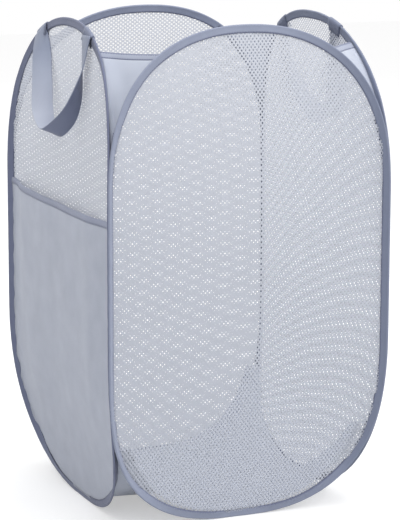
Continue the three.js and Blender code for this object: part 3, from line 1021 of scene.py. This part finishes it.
def hemStitches(corner, quarter):
    h = hemSizes
    shares = np.linspace(*h["stitchEnds"], h["stitchPlaces"])
    rows = []
    for drop in h["stitchDrops"]:
        for shown in (-diagonal, diagonal):
            line = [webPoint(h["top"] - drop, share) + shown * h["thickness"] / 2 for share in shares]
            rows.append((line, shown, False))
    return stitchRows(f"{corner}_hem_stitches", rows, quarter, pitch=h["pitch"], length=h["stitchLength"])


# The two panels that a web joins, and which end of it is at each. The back right corner has no joint.
webJoints = {
    0: {"front_panel": 1.0, "left_panel": 0.0},
    1: {"front_panel": 0.0, "right_panel": 1.0},
    3: {"back_panel": 0.0, "left_panel": 1.0},
}


def rideWeb(piece, quarter):
    if quarter in webJoints:
        (one, startShare), (two, endShare) = webJoints[quarter].items()
        start, end = [tuple(turned(webPoint(hemSizes["top"], share), quarter))
                      for share in (startShare, endShare)]
        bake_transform(piece)
    else:
        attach(piece, "back_panel")
        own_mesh(piece)


def makeWeb(quarter):
    w, h, corner = webSizes, hemSizes, cornerNames[quarter]
    top = h["top"] - h["depth"] * h["lapShare"]
    shares = np.linspace(0, 1, w["columns"])
    grid = [[webPoint(z, share) for share in shares] for z in np.linspace(w["bottom"], top, w["rows"])]
    grid, outward = turned(grid, quarter), turned(-diagonal, quarter)
    web = clothPiece(f"{corner}_web", grid, finishes["web"], w["thickness"], outward)
    hem = makeHem(corner, quarter)
    stitches = hemStitches(corner, quarter)
    for piece, slot in [(web, "cloth"), (hem, "edge_tape"), (stitches, "edge_tape")]:
        rideWeb(piece, quarter)
    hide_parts(f"{corner}_top_web")
    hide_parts(f"{corner}_top_hem")
    widest = float(lengths(webPoint(h["top"], 0) - webPoint(h["top"], 1)))
    gridArea(grid)


for corner in range(4):
    makeWeb(corner)
print("top webs made")


# Base cloth

baseSizes = {
    "attach": 0.0055, "wallGap": 0.0045, "rim": 0.0092, "sag": 0.0062, "lowest": 0.0007,
    "cornerRise": 0.092, "cornerPower": 8, "cornerPlaces": 600, "tiny": 1e-6, "bowShare": 0.98,
    "tuck": 0.0068, "ripple": 0.0009, "rippleTurns": (60, 25, 48, 31),
    "steps": 61, "thickness": 0.0005, "foldedKeep": 0.004, "cut": (0.36, 0.36),
}


def baseEdgeHeight(place):
    # height of a loop's inner edge above the floor at a place across the panel
    b = baseSizes
    heights = np.linspace(0, b["cornerRise"], b["cornerPlaces"])
    return np.interp(abs(place), halfWidthAt(heights) - b["attach"], heights) + b["rim"]


def basePull(z):
    # how far a loop draws the cloth's edge inwards at one height
    b = baseSizes
    return float(bow(z)) * b["bowShare"] + b["tuck"] * math.sin(float(finTurn(z)))


def basePoint(x, y, wall):
    b = baseSizes
    zx, zy = baseEdgeHeight(x), baseEdgeHeight(y)
    rise, power = b["cornerRise"], b["cornerPower"]
    steep = sum(max((z - b["rim"]) / rise, b["tiny"]) ** -power for z in (zx, zy))
    lift = rise * (steep - 1) ** (-1 / power)
    slack = max(0.0, 1 - (x / wall) ** 2) * max(0.0, 1 - (y / wall) ** 2)
    ripple = b["ripple"] * crossedWaves(x, y, b["rippleTurns"]) * slack
    z = b["rim"] + lift - b["sag"] * slack + ripple
    return x - x / wall * basePull(zy), y - y / wall * basePull(zx), max(z, b["lowest"])


def makeBase():
    b = baseSizes
    wall = plane - b["wallGap"]
    places = np.sin(np.linspace(-math.pi / 2, math.pi / 2, b["steps"])) * wall
    grid = [[basePoint(x, y, wall) for x in places] for y in places]
    base = clothPiece("base_cloth_sheet", grid, finishes["cloth"], b["thickness"], (0, 0, 1))
    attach(base, "front_panel")
    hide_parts("base_cloth")
    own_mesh(base)
    gridArea(grid)


makeBase()
print("base made")


# Pocket on the left panel

pocketSizes = {
    "top": 0.3685, "underMouth": 0.001, "endRise": 0.0045, "endStart": 0.6, "bulge": 0.0085,
    "inset": 0.0048, "seat": 0.00045, "freeFrom": 0.012, "freeTo": 0.075, "low": (0.02, 0.16),
    "ripple": 0.0008, "rippleTurns": (55, 22, 31, 14),
    "fold": 0.0016, "foldHalf": 0.06, "foldPlace": -0.78, "foldSlant": 0.5, "foldRise": (0.72, 0.92),
    "footHeights": (0.0062, 0.06), "footRows": 14, "wallStart": 0.068, "rows": 44, "columns": 64,
    "thickness": 0.00035, "cut": (0.35, 0.37),
}
mouthSizes = {
    "depth": 0.0080, "half": 0.0009, "roll": 0.0004, "middleShare": 0.5, "halfShares": (0.5, 1, 1.05, 0.9),
    "places": 70, "stitchDrop": 0.0066, "stitchEnd": 0.99, "stitchPlaces": 80,
}


def pocketPoint(share, z):
    # share runs across the panel, from -1 at one edge to 1 at the other
    p = pocketSizes
    across = (float(halfWidthAt(z)) - p["inset"]) * share
    spot = np.array([[across, z]])
    free = float(smoothStep(edgeDistance(spot)[0], p["freeFrom"], p["freeTo"]))
    rise = z / p["top"]
    low = float(smoothStep(z, *p["low"]))
    foldAt = p["foldPlace"] + p["foldSlant"] * (1 - rise)
    fold = p["fold"] * math.exp(-((share - foldAt) / p["foldHalf"]) ** 2)
    fold *= float(smoothStep(rise, *p["foldRise"])) * free
    ripple = p["ripple"] * crossedWaves(across, z, p["rippleTurns"])
    stand = p["seat"] + (p["bulge"] + ripple) * free * low + fold
    lift = p["endRise"] * max(0.0, -share) ** 2 * float(smoothStep(rise, p["endStart"], 1.0))
    return np.array([across, -plane + float(standAt([across, z])) - stand, z + lift])


def makeMouth(quarter):
    m = mouthSizes
    drops = (0, m["roll"], m["depth"] * m["middleShare"], m["depth"])
    section = [(drop, m["half"] * share) for drop, share in zip(drops, m["halfShares"])]
    section += mirrored(section)
    rings = [[pocketPoint(share, pocketSizes["top"] - drop) - [0, side, 0] for drop, side in section]
             for share in np.linspace(-1.0, 1.0, m["places"])]
    return skin("pocket_mouth_binding", turned(rings, quarter), finishes["mouth"])


def mouthStitches(quarter):
    m = mouthSizes
    stand = [0, m["half"] + stitchSizes["stand"], 0]
    line = [pocketPoint(share, pocketSizes["top"] - m["stitchDrop"]) - stand
            for share in np.linspace(-m["stitchEnd"], m["stitchEnd"], m["stitchPlaces"])]
    return stitchRows("pocket_mouth_stitches", [(line, (0, -1, 0), False)], quarter)


def makePocket():
    p, quarter = pocketSizes, sideNames.index("left")
    heights = np.concatenate([
        np.linspace(*p["footHeights"], p["footRows"]),
        np.linspace(p["wallStart"], p["top"] - p["underMouth"], p["rows"])])
    shares = np.linspace(-1, 1, p["columns"])
    grid = turned([[pocketPoint(share, z) for share in shares] for z in heights], quarter)
    pocket = clothPiece("side_pocket_cloth", grid, finishes["pocket"], p["thickness"], (-1, 0, 0))
    mouth = makeMouth(quarter)
    stitches = mouthStitches(quarter)
    for piece, slot in [(pocket, "cloth"), (mouth, "edge_tape"), (stitches, "edge_tape")]:
        ridePanel(piece, quarter)
    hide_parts("side_pocket")
    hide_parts("pocket_mouth_tape")
    gridArea(grid)


makePocket()
print("pocket made")


# Handles

strapSizes = {
    "width": 0.025, "thickness": 0.0014, "steps": 96, "rootDrop": 0.004, "gap": 0.0004,
    "sectionShares": [(-1, -0.6), (-0.97, -1), (0, -1), (0.97, -1), (1, -0.6)],
    "stillAbove": 0.574, "freeBelow": 0.545,
}
anchorSizes = {
    "width": 0.026, "thickness": 0.0011, "depth": 0.015, "clearance": 0.0003, "turns": (225, 270, 315),
    "roundShare": 0.95, "places": 12, "seamPlaces": (1, 10), "seamDepths": (0.0045, 0.0135),
    "seamStand": 0.0005, "seamSteps": 8, "pitch": 0.0022, "stitchLength": 0.0017,
}

# A strap hangs through these stations, from its left root to its right one as seen from outside:
# across the panel, inwards from its plane, height, and how far the inner edge turns to the panel.
handleSizes = {
    "left": {
        "quarter": 3, "roots": (-0.086, 0.071), "rootTurns": (12, 0),
        "stations": [
            (-0.064, 0.008, 0.540, 47), (-0.032, -0.003, 0.506, 60), (-0.006, -0.011, 0.472, 83),
            (0.021, -0.012, 0.454, 114), (0.045, -0.005, 0.467, 106), (0.066, 0.001, 0.492, 67),
            (0.072, 0.009, 0.529, 23),
        ],
    },
    "right": {
        "quarter": 1, "roots": (-0.066, 0.088), "rootTurns": (12, 0),
        "stations": [
            (-0.052, 0.008, 0.544, 42), (-0.026, -0.003, 0.506, 58), (-0.004, -0.011, 0.468, 80),
            (0.024, -0.013, 0.447, 112), (0.052, -0.006, 0.458, 106), (0.077, 0.001, 0.486, 68),
            (0.088, 0.009, 0.528, 24),
        ],
    },
}


def rimHeight(across):
    o = outlineSizes
    power, upPower = o["topPowers"]
    return topArcStart + o["topArc"] * (1 - (abs(across) / o["halfWidth"]) ** power) ** (1 / upPower)


def smoothThrough(rows, count):
    # a smooth line through rows of values, its places set by the run of their first three
    rows = np.asarray(rows, float)
    run = runOf(lengths(np.diff(rows[:, :3], axis=0)))
    slopes = np.gradient(rows, run, axis=0)
    places = np.linspace(0, run[-1], count + 1)
    left = np.clip(np.searchsorted(run, places, side="right") - 1, 0, len(run) - 2)
    gap = (run[left + 1] - run[left])[:, None]
    share = (places - run[left])[:, None] / gap
    ahead = 3 * share ** 2 - 2 * share ** 3
    bendOut, bendIn = share * (1 - share) ** 2, share ** 2 * (share - 1)
    return (rows[left] * (1 - ahead) + rows[left + 1] * ahead
            + gap * (slopes[left] * bendOut + slopes[left + 1] * bendIn))


def strapLine(handle):
    s = strapSizes
    stand = tapeSizes["bead"] + anchorSizes["thickness"] + s["thickness"] / 2 + s["gap"]
    ends = []
    for across, turn in zip(handle["roots"], handle["rootTurns"]):
        z = rimHeight(across) - s["rootDrop"]
        ends.append((across, float(bow(z)) - stand, z, turn))
    return smoothThrough([ends[0], *handle["stations"], ends[1]], s["steps"])


def unit(vector):
    return vector / lengths(vector)


def makeStrap(side):
    s, handle = strapSizes, handleSizes[side]
    line = strapLine(handle)
    middles = line[:, :3] + [0, -plane, 0]
    half, wall = s["width"] / 2, s["thickness"] / 2
    section = s["sectionShares"] + mirrored(s["sectionShares"])
    rings = []
    for middle, tangent, turn in zip(middles, np.gradient(middles, axis=0), np.radians(line[:, 3])):
        tangent = unit(tangent)
        inside = unit(np.array([-tangent[2], 0, tangent[0]]))
        width = inside * math.cos(turn) + np.array([0, math.sin(turn), 0])
        width = unit(width - tangent * np.dot(width, tangent))
        face = np.cross(tangent, width)
        rings.append([middle + width * across * half + face * up * wall for across, up in section])
    return skin(f"{side}_handle_webbing", turned(rings, handle["quarter"]), finishes["webbing"])


def rimStretch(low, high, count):
    # points of the outline along the crown between two places across the panel
    across = np.linspace(high, low, count)
    return np.stack([across, [rimHeight(place) for place in across]], axis=1)


def lapFace(reach):
    # (depth, side) of one face of the webbing that is lapped over the rim
    a, bead = anchorSizes, tapeSizes["bead"]
    bent = [(bead + reach * math.sin(angle) * a["roundShare"], reach * math.cos(angle))
            for angle in np.radians(a["turns"])]
    return [(a["depth"], -reach), (bead, -reach), *bent, (bead, reach), (a["depth"], reach)]


def lapSeam(axes, start, end, stand):
    # one straight seam on the lapped webbing, between two (place along the rim, depth)
    base, depth, sideways = axes
    line = []
    for share in np.linspace(0, 1, anchorSizes["seamSteps"]):
        at = start[0] + (end[0] - start[0]) * share
        deep = start[1] + (end[1] - start[1]) * share
        k = min(len(base) - 2, math.floor(at))
        pair = [base[j] + depth[j] * deep + sideways[j] * stand for j in (k, k + 1)]
        line.append(pair[0] * (1 - at + k) + pair[1] * (at - k))
    return line


def lapStitches(name, axes, quarter):
    # a box with a cross in it, on both faces
    a = anchorSizes
    (left, right), (near, far) = a["seamPlaces"], a["seamDepths"]
    box = [(left, near), (right, near), (right, far), (left, far)]
    seams = list(zip(box, box[1:] + box[:1])) + [(box[0], box[2]), (box[1], box[3])]
    stand = tapeSizes["bead"] + a["thickness"] + a["seamStand"]
    shown = axes[2][a["places"] // 2 - 1]
    rows = [(lapSeam(axes, start, end, sign * stand), shown * sign, False)
            for sign in (-1, 1) for start, end in seams]
    return stitchRows(name, rows, quarter, pitch=a["pitch"], length=a["stitchLength"])


def makeAnchor(side, letter, middle):
    a, quarter = anchorSizes, handleSizes[side]["quarter"]
    axes = edgeAxes(rimStretch(middle - a["width"] / 2, middle + a["width"] / 2, a["places"]), closed=False)
    near = tapeSizes["bead"] + a["clearance"]
    section = lapFace(near + a["thickness"]) + lapFace(near)[::-1]
    rings = sectionRings(axes, section)
    piece = skin(f"{side}_strap_end_{letter}", turned(rings, quarter), finishes["lapped"])
    stitches = lapStitches(f"{side}_strap_stitches_{letter}", axes, quarter)
    for item in (piece, stitches):
        ridePanel(item, quarter)
    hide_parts(f"{side}_strap_anchor_{letter}")


def makeHandles():
    for side, handle in handleSizes.items():
        strap = makeStrap(side)
        makeAnchor(side, "a", handle["roots"][1])
        makeAnchor(side, "b", handle["roots"][0])
        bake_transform(strap)
        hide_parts(f"{side}_handle_strap")


makeHandles()
print("handles made")


# Floor, backdrop and lamps

stageSizes = {
    "half": 6.0, "floorRoughness": 0.9, "floorShade": 0.62, "floorGlow": 0.45, "worldStrength": 0.76,
    "aimHeight": 0.3,
}
lamps = {
    "key": {"energy": 88, "size": 2.6, "place": (2.7, -2.3, 2.7)},
    "fill": {"energy": 24, "size": 2.6, "place": (-1.7, -1.5, 3.0)},
    "rim": {"energy": 20, "size": 2.0, "place": (0.6, 2.8, 2.4)},
    "top": {"energy": 13, "size": 0.8, "place": (0.0, 0.0, 2.4)},
}
white = (1, 1, 1, 1)


def seenShare(maker):
    # 1 where the camera sees the background, also in something shiny or clear
    seen = maker.node("ShaderNodeLightPath", out="Is Camera Ray")
    return seen.maths("MAXIMUM", seen.of("Is Glossy Ray")).maths("MAXIMUM", seen.of("Is Transmission Ray"))


def makeFloor():
    half, shade = stageSizes["half"], stageSizes["floorShade"]
    mesh = bpy.data.meshes.new("floor")
    corners = [(-half, -half, 0), (half, -half, 0), (half, half, 0), (-half, half, 0)]
    mesh.from_pydata(corners, [], [(0, 1, 2, 3)])
    paint = Paint("pale floor", stageSizes["floorRoughness"])
    paint.set("Base Color", (shade, shade, shade, 1))
    glow = paint.node("ShaderNodeEmission", None, {"Color": white, "Strength": stageSizes["floorGlow"]})
    dark = paint.node("ShaderNodeEmission", None, {"Strength": 0.0})
    lift = paint.node("ShaderNodeMixShader", None, {0: seenShare(paint), 1: dark, 2: glow})
    added = paint.node("ShaderNodeAddShader", None, {0: Wire(paint, paint.shader.outputs[0]), 1: lift})
    paint.tree.links.new(added.socket, paint.tree.nodes["Material Output"].inputs["Surface"])
    floor = addObject("floor", mesh, paint.material, smooth=False)


def makeWorld():
    world = bpy.data.worlds.new("studio")
    bpy.context.scene.world = world
    world.use_nodes = True
    world.node_tree.nodes.clear()
    maker = NodeMaker(world.node_tree)
    soft, bright = [maker.node("ShaderNodeBackground", None, {"Color": white, "Strength": strength})
                    for strength in (stageSizes["worldStrength"], 1.0)]
    mix = maker.node("ShaderNodeMixShader", None, {0: seenShare(maker), 1: soft, 2: bright})
    maker.node("ShaderNodeOutputWorld", None, {"Surface": mix})


def makeLamps():
    aim = Vector((0, 0, stageSizes["aimHeight"]))
    for name, lamp in lamps.items():
        data = bpy.data.lights.new(name, "AREA")
        data.energy, data.size = lamp["energy"], lamp["size"]
        item = bpy.data.objects.new(name, data)
        item.location = lamp["place"]
        item.rotation_euler = (aim - Vector(lamp["place"])).to_track_quat("-Z", "Y").to_euler()
        bpy.context.scene.collection.objects.link(item)


makeFloor()
makeWorld()
makeLamps()
bpy.context.scene.view_settings.view_transform = "Standard"
print("stage made")
